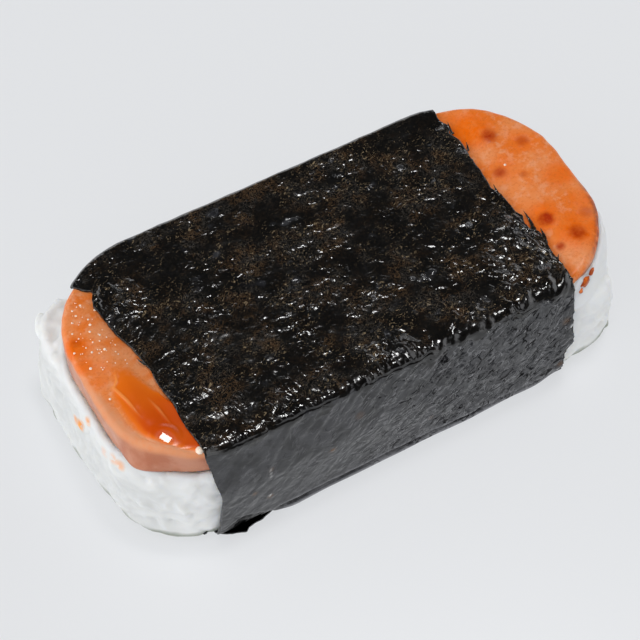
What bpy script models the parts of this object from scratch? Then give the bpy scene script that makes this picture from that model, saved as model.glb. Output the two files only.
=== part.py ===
"""A block of pressed rice with a fried slice of luncheon meat on top, held by a band of dried seaweed.

Metres, +Z up. The block lies along X with its front at -Y, and the seaweed under it rests on Z = 0.
The origin is the middle of the whole's box, at its bottom. Three pieces are made: rice,
luncheon_meat and nori_band. Seen from above, meat and rice are rounded rectangles.
"""

import math
import random

import bmesh
import bpy
from mathutils import Matrix, Vector, noise

MM = 0.001

# Where the middle of the meat lies, so that the whole's box is centred on the origin.
CENTRE = Vector((1.3 * MM, 0.8 * MM))
CLEARANCE = 0.3 * MM

# Meat and rice: how far each reaches to the left, right, front and back, and the radius of each
# corner seen from above, in the order back left, front left, front right, back right.
MEAT_REACH = (48.0 * MM, 47.8 * MM, 22.6 * MM, 23.3 * MM)
MEAT_CORNERS = (19.0 * MM, 16.5 * MM, 17.0 * MM, 18.5 * MM)
RICE_REACH = (49.8 * MM, 46.0 * MM, 24.0 * MM, 23.3 * MM)
RICE_CORNERS = (7.0 * MM, 16.0 * MM, 6.0 * MM, 8.0 * MM)
RICE_RIM = 1.3 * MM
MEAT_RIM = 1.3 * MM
GRID = (24, 10)

# Seaweed: a third of a full sheet, wound once round the food and lapped under it.
BAND_LEFT = CENTRE.x - 37.3 * MM
BAND_RIGHT = CENTRE.x + 33.8 * MM
BAND_SKEW = 1.8 * MM
BACK_TIP = 1.6 * MM
EDGE_WANDER = 0.7 * MM
SHEET = 0.35 * MM
INNER_LAP_END = CENTRE.y + 12.0 * MM
TORN_TAB = 2.8 * MM
WRINKLE = 0.55 * MM
BAND_COLUMNS = 18

# Heights, from the table up. Outside the band the rice sags to its foot, the meat swells.
OUTER_LAP = SHEET / 2
INNER_LAP = OUTER_LAP + SHEET + CLEARANCE
RICE_BOTTOM = INNER_LAP + SHEET / 2 + CLEARANCE
RICE_FOOT = 0.15 * MM
SAG_START = 3.5 * MM
RICE_TOP = 17.3 * MM
MEAT_BOTTOM = RICE_TOP + CLEARANCE
MEAT_TOP = 23.7 * MM
SWELL = 0.8 * MM
BAND_TOP = MEAT_TOP + CLEARANCE + SHEET / 2

# Cooked medium-grain rice: half length, half width, half thickness.
GRAIN = Vector((3.3, 1.4, 1.2)) * MM
GRAIN_STEP = 4.2 * MM
GRAIN_ROWS = 6
GRAIN_SEED = 11
GRAIN_TRIES = 12
LOWEST_ROW = RICE_FOOT + 2.0 * MM
HIGHEST_ROW = RICE_TOP - 2.0 * MM
LEDGE_INSET = 1.8 * MM
LEDGE_TURN = math.radians(35)


def smooth(t):
    """0 to 1, level at both ends."""
    t = min(max(t, 0.0), 1.0)
    return t * t * (3 - 2 * t)


def wander(seed, x, y, z=0.0):
    """Smooth unevenness from -1 to 1, with humps about 9 mm apart."""
    return noise.noise(Vector((x, y, z)) / (9 * MM) + Vector((seed * 7.3, seed * 3.1, seed)))


class Outline:
    """A rounded rectangle seen from above, with a radius of its own at each corner."""

    def __init__(self, reach, radii):
        self.left = CENTRE.x - reach[0]
        self.right = CENTRE.x + reach[1]
        self.front = CENTRE.y - reach[2]
        self.back = CENTRE.y + reach[3]
        self.corners = []
        for radius, sx, sy in zip(radii, (-1, -1, 1, 1), (1, -1, -1, 1)):
            x = (self.left if sx < 0 else self.right) - sx * radius
            y = (self.front if sy < 0 else self.back) - sy * radius
            self.corners.append((Vector((x, y)), radius, sx, sy))

    def fit(self, u, v):
        """The square -1..1 drawn to this outline: near a corner, its squares become quarter rings."""
        u *= 1.25 - 0.25 * u * u
        point = Vector(
            (
                self.left + (self.right - self.left) * (u + 1) / 2,
                self.front + (self.back - self.front) * (v + 1) / 2,
            )
        )
        for centre, radius, sx, sy in self.corners:
            beyond = point - centre
            if beyond.x * sx > 0 and beyond.y * sy > 0:
                return centre + beyond * max(abs(beyond.x), abs(beyond.y)) / beyond.length
        return point

    def side(self, x, sign, outward):
        """The Y at this X of the front (sign -1) or back (1) side, moved outward this far."""
        for centre, radius, sx, sy in self.corners:
            beyond = (x - centre.x) * sx
            if sy == sign and beyond > 0:
                return centre.y + sy * math.sqrt((radius + outward) ** 2 - beyond**2)
        return (self.back if sign > 0 else self.front) + sign * outward

    def depth(self, x, y):
        """How far inside the outline a point lies; less than 0 outside it."""
        for centre, radius, sx, sy in self.corners:
            beyond = Vector((x, y)) - centre
            if beyond.x * sx > 0 and beyond.y * sy > 0:
                return radius - beyond.length
        return min(x - self.left, self.right - x, y - self.front, self.back - y)

    def walk(self, step, start):
        """Points along the outline, this far apart, each with its outward normal."""
        ring = []
        for centre, radius, sx, sy in self.corners:
            middle = math.atan2(sy, sx)
            for k in range(-6, 7):
                turn = middle + math.pi / 4 * k / 6
                ring.append(centre + Vector((math.cos(turn), math.sin(turn))) * radius)
        travelled = start
        for a, b in zip(ring, ring[1:] + ring[:1]):
            along = (b - a).normalized()
            while travelled < (b - a).length:
                yield a + along * travelled, Vector((along.y, -along.x))
                travelled += step
            travelled -= (b - a).length


MEAT = Outline(MEAT_REACH, MEAT_CORNERS)
RICE = Outline(RICE_REACH, RICE_CORNERS)


def band_edges(y, z):
    """The X of the seaweed's left and right cut edges where it passes this Y and Z.

    On top the left edge leans outward towards the back and ends in a torn tip.
    """
    up = smooth(z / MEAT_TOP)
    across = (y - MEAT.front) / (MEAT.back - MEAT.front)
    tip = smooth((y - CENTRE.y - 15 * MM) / (6 * MM))
    left = BAND_LEFT - up * (BAND_SKEW * across + BACK_TIP * tip)
    left += EDGE_WANDER * wander(5, 2 * y, 2 * z)
    right = BAND_RIGHT + EDGE_WANDER * wander(6, 2 * y, 2 * z)
    return left, right


def beyond_band(point):
    """How far along X a point lies outside the seaweed; less than 0 under it."""
    left, right = band_edges(point.y, point.z)
    return max(left - point.x, point.x - right)


def new_collection(name):
    made = bpy.data.collections.new(name)
    bpy.context.scene.collection.children.link(made)
    return made


def new_object(name, bm, collection):
    mesh = bpy.data.meshes.new(name)
    bm.to_mesh(mesh)
    bm.free()
    made = bpy.data.objects.new(name, mesh)
    collection.objects.link(made)
    return made


def finish(obj, colour, roughness):
    """One plain material for the whole piece, and smooth shading that keeps its sharp rims."""
    material = bpy.data.materials.new(obj.name)
    material.use_nodes = True
    shader = material.node_tree.nodes["Principled BSDF"]
    shader.inputs["Base Color"].default_value = (*colour, 1)
    shader.inputs["Roughness"].default_value = roughness
    obj.data.materials.clear()
    obj.data.materials.append(material)
    obj.data.shade_smooth()
    obj.data.set_sharp_from_angle(angle=math.radians(50))


def slab(name, outline, bottom, top, rim, collection):
    """A flat block: a grid drawn to the outline, raised to its height, with rounded rims."""
    bm = bmesh.new()
    bmesh.ops.create_grid(bm, x_segments=GRID[0], y_segments=GRID[1], size=1)
    for vert in bm.verts:
        vert.co.xy = outline.fit(vert.co.x, vert.co.y)
        vert.co.z = bottom
    raised = bmesh.ops.extrude_face_region(bm, geom=bm.faces[:], use_keep_orig=True)
    lifted = [item for item in raised["geom"] if isinstance(item, bmesh.types.BMVert)]
    bmesh.ops.translate(bm, verts=lifted, vec=(0, 0, top - bottom))
    bmesh.ops.recalc_face_normals(bm, faces=bm.faces)
    piece = new_object(name, bm, collection)
    bevel = piece.modifiers.new("rounded rims", "BEVEL")
    bevel.limit_method = "ANGLE"
    bevel.angle_limit = math.radians(60)
    bevel.width = rim
    bevel.segments = 2
    bevel.use_clamp_overlap = False
    return piece


def luncheon_meat(collection):
    """The fried slice. Past the band, which holds it flat, it swells and is a little uneven."""
    piece = slab("luncheon_meat", MEAT, MEAT_BOTTOM, MEAT_TOP, MEAT_RIM, collection)
    for vert in piece.data.vertices:
        free = smooth((beyond_band(vert.co) - 2 * CLEARANCE) / (5 * MM))
        outward = (vert.co.xy - CENTRE).normalized()
        vert.co.xy += outward * (0.45 * MM * wander(2, vert.co.x, vert.co.y) * free)
        if vert.co.z > MEAT_TOP - CLEARANCE:
            vert.co.z += free * SWELL * (1 + 0.6 * wander(3, vert.co.x, vert.co.y))
    return piece


def arc(y, z, radius, first):
    """A quarter turn round this centre, clockwise seen from +X, in four steps."""
    turns = [math.radians(first - 22.5 * k) for k in range(5)]
    return [(y + radius * math.cos(turn), z + radius * math.sin(turn)) for turn in turns]


def between(start, end, pieces):
    """The points that part a straight run into pieces, without its ends."""
    shares = [k / pieces for k in range(1, pieces)]
    return [tuple(a + (b - a) * share for a, b in zip(start, end)) for share in shares]


def band_section():
    """The sheet's middle line in Y and Z: inner lap, front, top, back, and the outer lap below."""
    front = MEAT.front - CLEARANCE - SHEET / 2
    back = MEAT.back + CLEARANCE + SHEET / 2
    top = MEAT_RIM + CLEARANCE + SHEET / 2
    inner = RICE_RIM + CLEARANCE + SHEET / 2
    outer = inner + INNER_LAP - OUTER_LAP
    front_foot = arc(front + inner, INNER_LAP + inner, inner, -90)
    front_rim = arc(front + top, BAND_TOP - top, top, -180)
    back_rim = arc(back - top, BAND_TOP - top, top, -270)
    back_foot = arc(back - outer, OUTER_LAP + outer, outer, -360)
    inner_end = (INNER_LAP_END, INNER_LAP)
    outer_end = (front, OUTER_LAP)
    path = [inner_end, *between(inner_end, front_foot[0], 6), *front_foot]
    path += [*between(front_foot[-1], front_rim[0], 5), *front_rim]
    path += [*between(front_rim[-1], back_rim[0], 12), *back_rim]
    path += [*between(back_rim[-1], back_foot[0], 5), *back_foot]
    path += [*between(back_foot[-1], outer_end, 8), outer_end]
    return path


def band_surface(x, y, z):
    """A point of the straight section, moved to follow meat above and rice below, and wrinkled."""
    sign = 1 if y > CENTRE.y else -1
    offset = CLEARANCE + SHEET / 2
    on_meat = MEAT.side(x, sign, offset)
    on_rice = RICE.side(x, sign, offset)
    share = smooth((z - RICE_TOP + 0.5 * MM) / (5 * MM))
    wall = on_rice + (on_meat - on_rice) * share - CENTRE.y
    straight = (MEAT.back if sign > 0 else MEAT.front) + sign * offset - CENTRE.y
    beside = max(abs(y - CENTRE.y) - abs(straight) + MEAT_RIM, 0)
    above = max(z - BAND_TOP + MEAT_RIM, 0)
    outward = Vector((sign * beside, above)).normalized()
    above_foot = smooth((z - RICE_BOTTOM) / (3 * MM))
    bulge = WRINKLE * above_foot * (0.5 + 0.5 * wander(8, x, y, z))
    y = CENTRE.y + (y - CENTRE.y) * wall / straight
    return Vector((x, y + outward.x * bulge, z + outward.y * bulge))


def lap_reach(x):
    """How far the outer lap reaches past its nominal end: a torn tab at the left, short elsewhere."""
    from_tab = (x - BAND_LEFT - 5.2 * MM) / (6.2 * MM)
    return TORN_TAB * max(1 - from_tab**2, 0) - 1.2 * MM


def nori_band(collection):
    """One thin sheet: a grid carried along the section, from cut edge to cut edge."""
    section = band_section()
    rows = len(section) - 1
    bm = bmesh.new()
    bmesh.ops.create_grid(bm, x_segments=BAND_COLUMNS, y_segments=rows, size=1)
    for vert in bm.verts:
        across = (vert.co.x + 1) / 2
        row = round((vert.co.y + 1) / 2 * rows)
        y, z = section[row]
        left, right = band_edges(y, z)
        vert.co = band_surface(left + (right - left) * across, y, z)
        if row == rows:
            vert.co.y -= lap_reach(vert.co.x)
    bmesh.ops.triangulate(bm, faces=bm.faces[:])
    piece = new_object("nori_band", bm, collection)
    sheet = piece.modifiers.new("sheet", "SOLIDIFY")
    sheet.thickness = SHEET
    sheet.offset = 0
    return piece


def grain_mesh():
    bm = bmesh.new()
    bmesh.ops.create_uvsphere(bm, u_segments=6, v_segments=4, radius=1)
    bmesh.ops.scale(bm, vec=GRAIN, verts=bm.verts)
    mesh = bpy.data.meshes.new("grain")
    bm.to_mesh(mesh)
    bm.free()
    return mesh


def lay_grain(place, facing, level, turn):
    """A grain flat against a surface that faces this way, turned away from a level direction."""
    along = Matrix.Rotation(turn, 3, facing) @ level
    frame = Matrix((along, facing.cross(along), facing)).transposed()
    return Matrix.Translation(place) @ frame.to_4x4()


def grain_fits(mesh, matrix):
    """True where the whole grain is above the table and clear of meat and seaweed."""
    for vert in mesh.vertices:
        point = matrix @ vert.co
        under_meat = MEAT.depth(point.x, point.y) > -3 * CLEARANCE and point.z > RICE_TOP
        if under_meat or point.z < RICE_FOOT or beyond_band(point) < 2 * CLEARANCE:
            return False
    return True


def grain_spots(draw):
    """Places for grains: rows up the wall, then one row lying on the ledge beside the meat.

    Each is (place, way the surface faces, level direction along it, most that a grain turns).
    """
    for row in range(GRAIN_ROWS):
        height = LOWEST_ROW + (HIGHEST_ROW - LOWEST_ROW) * row / (GRAIN_ROWS - 1)
        rounded = 0.5 * MM if row in (0, GRAIN_ROWS - 1) else 0
        for point, normal in RICE.walk(GRAIN_STEP, GRAIN_STEP * 0.5 * (row % 2)):
            place = point - normal * (rounded + GRAIN.z * draw.uniform(0.35, 0.75))
            level = Vector((-normal.y, normal.x, 0))
            uneven = 0.3 * MM * draw.uniform(-1, 1)
            yield Vector((*place, height + uneven)), normal.to_3d(), level, math.pi / 2
    for point, normal in RICE.walk(GRAIN_STEP, 0):
        place = point - normal * LEDGE_INSET * draw.uniform(0.8, 1.3)
        level = Vector((-normal.y, normal.x, 0))
        height = RICE_TOP - GRAIN.z * draw.uniform(0.2, 0.7)
        yield Vector((*place, height)), Vector((0, 0, 1)), level, LEDGE_TURN


def scatter_grains(collection):
    """Grains over both bare ends, each turned until it fits; one that never fits is left out."""
    draw = random.Random(GRAIN_SEED)
    mesh = grain_mesh()
    for place, facing, level, most in list(grain_spots(draw)):
        for _ in range(GRAIN_TRIES):
            matrix = lay_grain(place, facing, level, draw.uniform(-most, most))
            if grain_fits(mesh, matrix):
                grain = bpy.data.objects.new("grain", mesh)
                grain.matrix_world = matrix
                collection.objects.link(grain)
                break


def fuse(piece, collection):
    """Joins the collection's objects to the piece as one body, and removes them."""
    union = piece.modifiers.new("fused", "BOOLEAN")
    union.operand_type = "COLLECTION"
    union.collection = collection
    union.operation = "UNION"
    union.solver = "MANIFOLD"
    graph = bpy.context.evaluated_depsgraph_get()
    piece.data = bpy.data.meshes.new_from_object(piece.evaluated_get(graph))
    piece.modifiers.clear()
    for obj in list(collection.objects):
        bpy.data.objects.remove(obj)
    bpy.data.collections.remove(collection)


def keep_outer_shell(mesh):
    """Drops loose scraps, and the inner shells of sealed hollows, which fills these."""
    bm = bmesh.new()
    bm.from_mesh(mesh)
    waiting = set(bm.faces)
    shells = []
    while waiting:
        shell = set()
        reached = {waiting.pop()}
        while reached:
            shell |= reached
            near = {other for face in reached for edge in face.edges for other in edge.link_faces}
            reached = near & waiting
            waiting -= reached
        shells.append(shell)
    shells.sort(key=len)
    for shell in shells[:-1]:
        bmesh.ops.delete(bm, geom=list(shell), context="FACES")
    bm.to_mesh(mesh)
    bm.free()


def rice(collection):
    """The pressed block: a core that sags to the table past the band, with grains fused on."""
    core = slab("rice", RICE, RICE_BOTTOM, RICE_TOP, RICE_RIM, collection)
    for vert in core.data.vertices:
        free = smooth((beyond_band(vert.co) - SAG_START) / (3 * MM))
        if vert.co.z < RICE_BOTTOM + CLEARANCE:
            vert.co.z += (RICE_FOOT - RICE_BOTTOM) * free
        else:
            vert.co.z -= 0.4 * MM * free
    grains = new_collection("grains")
    scatter_grains(grains)
    fuse(core, grains)
    keep_outer_shell(core.data)
    return core


def main():
    for obj in list(bpy.data.objects):
        bpy.data.objects.remove(obj)
    musubi = new_collection("musubi")
    finish(luncheon_meat(musubi), (0.72, 0.20, 0.07), 0.35)
    finish(rice(musubi), (0.82, 0.82, 0.78), 0.45)
    finish(nori_band(musubi), (0.012, 0.013, 0.010), 0.4)


main()
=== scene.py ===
"""Luncheon meat musubi: sticky rice, a glazed fried slice on it, and a band of seaweed round both.

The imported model's frame, +Z up: the block lies along X with its front at -Y. Sizes are in
millimetres, which new_object turns into metres; new_material gives places in millimetres again.
"""

import itertools
import math

import bpy
import numpy as np
from mathutils import Matrix, Vector


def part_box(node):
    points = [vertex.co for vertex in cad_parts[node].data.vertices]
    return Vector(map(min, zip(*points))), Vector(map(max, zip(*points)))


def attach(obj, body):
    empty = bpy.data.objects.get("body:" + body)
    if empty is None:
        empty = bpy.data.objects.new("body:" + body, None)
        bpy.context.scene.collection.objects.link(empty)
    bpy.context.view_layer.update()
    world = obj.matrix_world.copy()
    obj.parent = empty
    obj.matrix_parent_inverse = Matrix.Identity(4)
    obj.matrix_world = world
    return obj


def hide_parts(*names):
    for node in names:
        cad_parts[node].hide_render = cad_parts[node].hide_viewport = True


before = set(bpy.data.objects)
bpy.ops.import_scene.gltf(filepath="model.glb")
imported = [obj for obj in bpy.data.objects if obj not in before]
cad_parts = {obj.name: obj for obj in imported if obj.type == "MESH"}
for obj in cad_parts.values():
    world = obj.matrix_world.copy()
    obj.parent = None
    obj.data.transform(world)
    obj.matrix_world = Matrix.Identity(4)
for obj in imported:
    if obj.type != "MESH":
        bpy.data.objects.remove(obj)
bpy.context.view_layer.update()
MM = 0.001


# ------------------------------------------------------------
# The rice: short-grain rice, cooked, cooled and pressed in a mould, so that its grains stick and
# half melt together. The grains are laid over both bare ends of a plain core and fused with it.
# The foot has spread, and at the front right some rice has climbed the slice's wall.

# An outline is a rounded rectangle seen from above, in two rows: how far it reaches from CENTRE
# to the left, right, front and back; then its radius at front right, back right, back left and
# front left. What is added to one goes into both rows, or into the reach alone.
CENTRE = np.array((1.3, 0.8))
RICE = np.array(((49.3, 45.6, 23.9, 23.2), (6.0, 8.0, 8.0, 16.0)))
SLICE = np.array(((48.0, 47.8, 22.6, 23.3), (17.0, 18.5, 19.0, 16.5)))
REACH_ONLY = np.array(((1.0,), (0.0,)))
RICE_RIM = 1.3
RICE_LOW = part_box("rice")[0].z / MM - 0.1
RICE_HIGH = 17.2
BAND_LEFT = -36.2
BAND_RIGHT = 35.0
CORE_INSET = 0.95
END_DEPTH = 9.0  # how far the fused ends reach in under the seaweed
VOXEL = 0.34
GRAIN = np.array((3.0, 1.3, 1.15))  # half length, half width, half thickness
GRAIN_SPACING = 2.1
GRAIN_ROWS = np.arange(1.2, 16.4, 1.45)
HIGHEST_ROW = 15.5
WALL_INSET = 1.25
LEDGE_HEIGHT = 16.3
MOST_TILT = 0.10
STANDING_OUT = np.array(((-46.3, 21.0, 15.5), (-42.4, 22.1, 15.8)))  # grains at the back left corner
POINTING = (0.41, 0.91, 0.0)  # the way these lie
FOOT_SPREAD = (1.2, 2.0, 1.4)  # how far the foot has spread at the left, at the right and to the front
BESIDE_SLICE = (  # rows of grains: height, gap to the slice's wall, and from which X, up to which Y
    (16.8, 0.25, -99.0, 99.0), (17.3, 1.1, 37.0, -10.5), (18.6, 0.75, 37.0, -10.5),
    (20.0, 0.35, 37.0, -10.5), (21.2, 0.0, 37.0, -10.5),
)


def smooth(t):
    """0 to 1, level at both ends: 3t² - 2t³."""
    t = np.clip(t, 0, 1)
    return t * t * (3 - 2 * t)


def scrambled(whole, seed):
    """A repeatable number from -1 to 1 for each row of whole numbers, by mixing their bits."""
    mixed = whole @ np.array((73856093, 19349663, 83492791)) ^ (seed * 2654435761)
    mixed = ((mixed & 0xFFFFFFFF) * 2246822519) & 0xFFFFFFFF
    mixed = ((mixed ^ (mixed >> 15)) * 3266489917) & 0xFFFFFFFF
    return ((mixed ^ (mixed >> 13)) & 0xFFFF) / 0x7FFF - 1


def uneven(points, size, seed):
    """Smooth noise from about -1 to 1, its humps about this far apart: a slope drawn at each
    corner of a cubic cell, blended across the cell by 6t⁵ - 15t⁴ + 10t³."""
    cell = np.floor(points / size).astype(np.int64)
    inside = points / size - cell
    blend = inside**3 * (inside * (inside * 6 - 15) + 10)
    total = 0
    for corner in itertools.product((0, 1), repeat=3):
        weight = np.prod(np.where(corner, blend, 1 - blend), axis=-1)
        slopes = np.stack([scrambled(cell + corner, 3 * seed + axis) for axis in range(3)], -1)
        total = total + weight * np.sum(slopes * (inside - corner), axis=-1)
    return 1.5 * total


def rounded(outline, spacing):
    """An outline's points, evenly spaced and anticlockwise from the front right, along four
    quarter circles joined by straight sides. Each has its outward direction and its hub: the
    corner's centre, or the place between two of them beside a straight side."""
    (left, right, front, back), radii = outline
    ends = ((right, -front), (right, back), (-left, back), (-left, -front))
    arcs = []
    for (x, y), radius, first in zip(ends, radii, (-90, 0, 90, 180)):
        hub = CENTRE + (x - math.copysign(radius, x), y - math.copysign(radius, y))
        turn = np.radians(first + np.linspace(0, 90, 25))
        outward = np.stack((np.cos(turn), np.sin(turn)), 1)
        arcs.append(np.hstack((hub + outward * radius, outward, hub + outward * 0)))
    ring = np.concatenate((*arcs, arcs[0][:1]))
    reached = np.cumsum(np.hypot(*np.diff(ring[:, :2], axis=0, prepend=ring[:1, :2]).T))
    spots = np.linspace(0, reached[-1], round(reached[-1] / spacing), endpoint=False)
    ring = np.stack([np.interp(spots, reached, column) for column in ring.T], 1)
    outward = ring[:, 2:4] / np.linalg.norm(ring[:, 2:4], axis=1, keepdims=True)
    return ring[:, :2], outward, ring[:, 4:]


def inset_of(spots, outline):
    """How far inside an outline each spot lies; less than 0 outside it."""
    (left, right, front, back), radii = outline
    x, y = (spots[:, :2] - CENTRE).T
    to_x = np.where(x > 0, right, left) - np.abs(x)
    to_y = np.where(y > 0, back, front) - np.abs(y)
    radius = radii[np.where(x > 0, np.where(y > 0, 1, 0), np.where(y > 0, 2, 3))]
    in_corner = radius - np.hypot(np.maximum(radius - to_x, 0), np.maximum(radius - to_y, 0))
    return np.minimum(in_corner, np.minimum(to_x, to_y))


def beyond_band(x):
    """How far along X a place lies outside the seaweed; less than 0 under it."""
    return np.maximum(BAND_LEFT - x, x - BAND_RIGHT)


def slab(ring, low, high, rim, spacing):
    """A flat block as rings of points, from the middle of its underside round to that of its top.

    The upper half is the outline moved inward, by the rim's quarter circle and on to the hubs,
    and from there shrunk towards the middle. The lower half mirrors it, the wall lies between.
    """
    place, outward, hub = ring
    depth = np.linalg.norm(hub - place, axis=1)
    turn = np.radians(np.linspace(0, 90, 7))[:, None]
    share = np.linspace(0, 1, round(depth.mean() / spacing) + 1)[1:, None]
    inset = np.concatenate((rim * (1 - np.cos(turn)) + 0 * depth, rim + (depth - rim) * share))
    middle = hub.mean(axis=0)
    shrink = np.array((0.75, 0.5, 0.25))[:, None, None]
    half = np.concatenate((place - outward * inset[..., None], middle + (hub - middle) * shrink))
    drop = np.zeros((len(half), 1))
    drop[: len(turn)] = rim * (1 - np.sin(turn))
    wall = np.linspace(low + rim, high - rim, round((high - low - 2 * rim) / spacing) + 1)[1:-1, None]
    rings = np.concatenate((half[::-1], place + 0 * wall[..., None], half))
    return np.dstack((rings, np.concatenate((low + drop[::-1], wall, high - drop)) + 0 * depth))


def grid_faces(rows, columns, wrap):
    """The quads of a grid of points in reading order; wrapped, its last column joins the first."""
    corner = np.arange(rows * columns).reshape(rows, columns)
    if wrap:
        corner = np.hstack((corner, corner[:, :1]))
    quads = np.stack((corner[:-1, :-1], corner[:-1, 1:], corner[1:, 1:], corner[1:, :-1]), -1)
    return quads.reshape(-1, 4)


def capped(rings):
    """The points and faces of a closed surface: wrapped rings, with a pole added at both ends."""
    rows, columns = rings.shape[:2]
    ends = rings[[0, -1]].mean(axis=1)
    here = np.arange(columns)
    after = (here + 1) % columns
    first = np.stack((after, here, np.full(columns, rows * columns)), 1)
    last = np.stack((here, after, np.full(columns, rows * columns + 1)), 1)
    last[:, :2] += (rows - 1) * columns
    faces = [*grid_faces(rows, columns, True), *first, *last]
    return np.concatenate((rings.reshape(-1, 3), ends)), faces


def joined(parts):
    """Several meshes as one: their points in a row, their faces counted on."""
    faces = []
    counted = 0
    for part_points, part_faces in parts:
        faces += [tuple(int(corner) + counted for corner in face) for face in part_faces]
        counted += len(part_points)
    return np.concatenate([part[0] for part in parts]), faces


def repeated(shape, places, axes):
    """Copies of a closed shape as one mesh, each at its place and along its own three axes."""
    points, faces = shape
    laid = places[:, None] + np.einsum("pa,gad->gpd", points, axes)
    shifts = np.arange(len(places))[:, None, None] * len(points)
    copied = []
    for size in (4, 3):
        corners = np.array([face for face in faces if len(face) == size])
        copied += [*(corners + shifts).reshape(-1, size)]
    return laid.reshape(-1, 3), copied


def circle(count):
    """The cosine and sine of directions evenly round a circle."""
    turn = np.arange(count) * math.tau / count
    return np.cos(turn), np.sin(turn)


def new_object(name, points, faces):
    """A mesh object in the scene, its points given in millimetres."""
    mesh = bpy.data.meshes.new(name)
    mesh.from_pydata(np.asarray(points) * MM, [], faces)
    made = bpy.data.objects.new(name, mesh)
    bpy.context.scene.collection.objects.link(made)
    return made


def new_piece(name, points, faces, slot, replaces=()):
    """A smooth-shaded piece of the object, which rides with it. The slot is not used."""
    piece = new_object(name, points, faces)
    piece.data.shade_smooth()
    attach(piece, "root")
    if replaces:
        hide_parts(*replaces)
    return piece


def grain_shape():
    """A grain of half size 1: rings along X with radius (1 - t^2.4)^0.5, bent a little in Y."""
    along = np.array((-0.93, -0.72, -0.38, 0, 0.38, 0.72, 0.93))
    radius = np.sqrt(1 - np.abs(along) ** 2.4)
    across, up = circle(8)
    rings = np.stack((0 * across, across, up), 1) * radius[:, None, None]
    rings[..., 0] = along[:, None]
    rings[..., 1] += 0.22 * (0.5 - along[:, None] ** 2)
    return capped(rings)


def laid_grains(places, facing, level, turn, tilt, size):
    """Grains laid against a surface: each one's length starts level along the surface, turns
    about the way it faces, then tilts out of it. The grain shape is scaled by its size."""
    across = np.cross(facing, level)
    flat = level * np.cos(turn)[:, None] + across * np.sin(turn)[:, None]
    side = np.cross(facing, flat)
    along = flat * np.cos(tilt)[:, None] + facing * np.sin(tilt)[:, None]
    axes = np.stack((along, side, np.cross(along, side)), 1) * (GRAIN * size)[:, :, None]
    return repeated(grain_shape(), places, axes)


def with_height(flat, height=0.0):
    """Places or directions in the plane, with this height added as their Z."""
    return np.column_stack((flat, np.broadcast_to(height, len(flat))))


def turned_left(outward):
    """The level directions square to these."""
    return np.stack((-outward[:, 1], outward[:, 0]), 1)


def wall_spots(draw):
    """Places for grains up the bare walls: each row runs round the outline, jittered. At the left
    end the wall bulges by 0.5 mm; the highest rows lean in by as much."""
    place, outward, _ = rounded(RICE, GRAIN_SPACING)
    rows = np.repeat(GRAIN_ROWS, len(place))
    place = np.tile(place, (len(GRAIN_ROWS), 1))
    outward = np.tile(outward, (len(GRAIN_ROWS), 1))
    along = turned_left(outward)
    place = place + along * (draw.uniform(-0.5, 0.5, (len(rows), 1)) * GRAIN_SPACING)
    free = beyond_band(place[:, 0])
    bulge = 0.5 * smooth((free - 1) / 4) * (place[:, 0] < 0)
    into = WALL_INSET + 0.20 * draw.uniform(-1, 1, len(rows)) - bulge
    into += 0.5 * smooth((rows - 13.5) / 2)
    place = place - outward * into[:, None]
    rows = np.minimum(rows + draw.uniform(-0.6, 0.6, len(rows)), HIGHEST_ROW)
    keep = free > -2.5
    return with_height(place, rows)[keep], with_height(outward)[keep], with_height(along)[keep]


def ledge_spots(draw):
    """Places for grains on the bare ledge beside the slice: a jittered grid inside the outline."""
    x = np.arange(CENTRE[0] - 50, CENTRE[0] + 46, GRAIN_SPACING)
    y = np.arange(CENTRE[1] - 24, CENTRE[1] + 24, GRAIN_SPACING)
    spots = np.stack(np.meshgrid(x, y), -1).reshape(-1, 2)
    spots += draw.uniform(-0.5, 0.5, spots.shape) * GRAIN_SPACING
    under = inset_of(spots, SLICE)
    keep = (inset_of(spots, RICE) > 2.3) & (under < 1.5) & (beyond_band(spots[:, 0]) > -1)
    spots = spots[keep]
    pressed = smooth((under[keep] + 2.6) / 2.2)
    level = draw.normal(size=(len(spots), 2))
    level /= np.linalg.norm(level, axis=1, keepdims=True)
    heights = LEDGE_HEIGHT + 0.25 * pressed - 0.3 * draw.random(len(spots))
    return with_height(spots, heights), np.tile((0, 0, 1), (len(spots), 1)), with_height(level)


def layer(draw):
    """One layer of grains over both ends. The lowest and highest lie nearly level."""
    spots = zip(wall_spots(draw), ledge_spots(draw))
    place, facing, level = (np.concatenate(pair) for pair in spots)
    count = len(place)
    turn = draw.uniform(-math.pi, math.pi, count)
    steep = np.abs(facing[:, 2]) < 0.5
    near_ends = smooth((np.abs(place[:, 2] - 8.7) - 3.5) / 3) * steep
    turn = turn * (1 - 0.8 * near_ends)
    tilt = draw.normal(size=count) * MOST_TILT * (1 - 0.6 * near_ends)
    size = draw.uniform((0.85, 0.88, 0.88), (1.12, 1.1, 1.1), (count, 3))
    return place, facing, level, turn, tilt, size


def row_beside_slice(draw, height, gap, from_x, to_y):
    """Grains laid end to end round the slice's bare ends, in one of the rows BESIDE_SLICE."""
    place, outward, _ = rounded(SLICE + gap, 2.6)
    x, y = place.T
    keep = (beyond_band(x) > -1) & (x > from_x) & (y < to_y)
    place, outward = place[keep], outward[keep]
    count = len(place)
    place = with_height(place, height + 0.2 * draw.uniform(-1, 1, count))
    turn = draw.uniform(-0.3, 0.3, count)
    size = draw.uniform((0.8, 0.85, 0.8), (1.05, 1.0, 0.95), (count, 3))
    return place, with_height(outward), with_height(turned_left(outward)), turn, 0 * turn, size


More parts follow.
